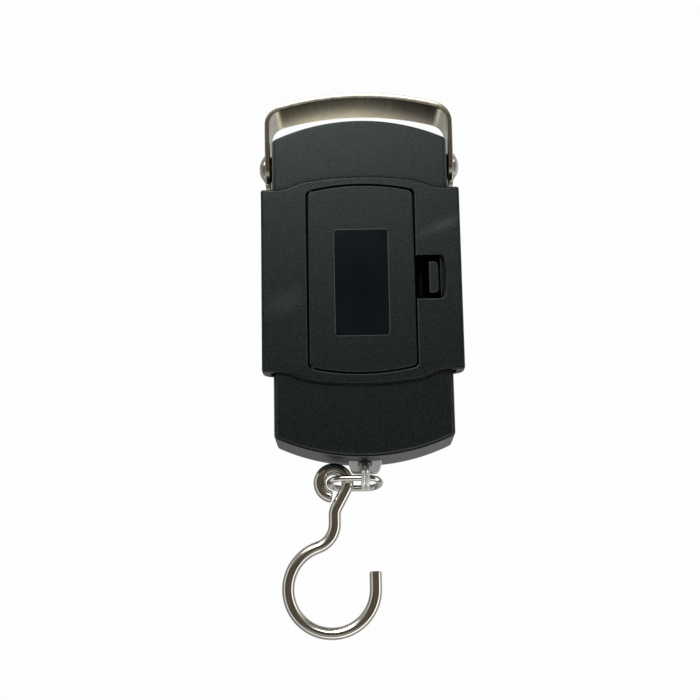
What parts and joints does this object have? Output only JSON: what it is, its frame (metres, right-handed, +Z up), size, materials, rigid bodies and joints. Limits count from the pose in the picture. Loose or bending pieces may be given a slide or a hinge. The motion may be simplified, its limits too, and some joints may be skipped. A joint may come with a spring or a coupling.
{
  "type": "digital luggage scale",
  "caption": "Hand-held hanging scale: slim housing with a raised sleeve and battery door, folding steel strap handle above, wire hook on a ring and link below.",
  "frame": {"origin": "underside of the handle strap's crown, on the middle plane, where the hand holds the scale", "axes": "+Z up along the load line, towards the handle; -Y out of the rear (battery door) face; +Y out of the display face; +X to the right when looking at the rear face"},
  "size_m": [0.066, 0.0281, 0.1769],
  "materials": {
    "housing_plastic": "fine spark-eroded satin",
    "shell_plastic": "fine spark-eroded satin",
    "label_film": "gloss, blank",
    "strap_steel": "satin polished",
    "screw_steel": "polished",
    "hook_steel": "bright nickel",
    "lug_steel": "plain",
    "cast_zinc": "as cast",
    "cell_aluminium": "milled",
    "gauge_foil": "polyimide film",
    "board": "solder mask",
    "black_part": "moulded",
    "lcd": "reflective grey-green",
    "white_plastic": "moulded",
    "contact_rubber": "layered",
    "window": "clear acrylic",
    "bezel": "piano black",
    "button_plastic": "satin silver",
    "battery_jacket": "printed sleeve, blank",
    "contact_metal": "nickel plated",
    "nylon": "natural",
    "cable_grey": "PVC",
    "cable_red": "PVC"
  },
  "bodies": {
    "housing": {"rear_shell": "housing_plastic", "front_shell": "shell_plastic", "handle_screws": "screw_steel", "strap_washers": "nylon", "yoke": "cast_zinc", "load_cell": "cell_aluminium", "strain_gauges": "gauge_foil", "cell_screws": "screw_steel", "hook_lug": "lug_steel", "main_pcb": "board", "controller_chip": "black_part", "lcd_glass": "lcd", "lcd_holder": "white_plastic", "zebra_strips": "contact_rubber", "display_window": "window", "front_bezel": "bezel", "tact_switches": "black_part", "pcb_screws": "screw_steel", "shell_screws": "screw_steel", "battery_1": "battery_jacket", "battery_2": "battery_jacket", "battery_contacts": "contact_metal", "battery_springs": "contact_metal", "sensor_cable": "cable_grey", "battery_wires": "cable_red"},
    "handle": {"handle_strap": "strap_steel"},
    "door": {"battery_door": "housing_plastic", "label_plate": "label_film"},
    "latch": {"door_latch": "housing_plastic"},
    "left_button": {"button_left": "button_plastic"},
    "middle_button": {"button_middle": "button_plastic"},
    "right_button": {"button_right": "button_plastic"},
    "ring": {"connector_ring": "hook_steel"},
    "link": {"chain_link": "hook_steel"},
    "hook_body": {"hook": "hook_steel"}
  },
  "joints": [
    {"name": "handle_swing", "type": "hinge", "parent": "housing", "child": "handle", "pos_m": [0, 0, -0.0213], "axis": [1, 0, 0], "range_deg": [-90, 90]},
    {"name": "door_swing", "type": "hinge", "parent": "housing", "child": "door", "pos_m": [-0.0161, -0.0122, -0.0623], "axis": [0, 0, -1], "range_deg": [0, 75]},
    {"name": "latch_flex", "type": "hinge", "parent": "door", "child": "latch", "pos_m": [0.01895, -0.0076, -0.0623], "axis": [0, 0, -1], "range_deg": [0, 12]},
    {"name": "left_button_press", "type": "slide", "parent": "housing", "child": "left_button", "axis": [0, -1, 0], "range_m": [0, 0.0006]},
    {"name": "middle_button_press", "type": "slide", "parent": "housing", "child": "middle_button", "axis": [0, -1, 0], "range_m": [0, 0.0006]},
    {"name": "right_button_press", "type": "slide", "parent": "housing", "child": "right_button", "axis": [0, -1, 0], "range_m": [0, 0.0006]},
    {"name": "ring_swing", "type": "hinge", "parent": "housing", "child": "ring", "pos_m": [0, 0, -0.1197], "axis": [0, -1, 0], "range_deg": [-1.5, 15]},
    {"name": "link_tilt", "type": "hinge", "parent": "ring", "child": "link", "pos_m": [0, -0.0019, -0.125], "axis": [1, 0, 0], "range_deg": [-40, 4]},
    {"name": "hook_swing", "type": "hinge", "parent": "link", "child": "hook_body", "pos_m": [-0.0102, 0.00194, -0.126], "axis": [0, -1, 0], "range_deg": [-55, 55]}
  ]
}
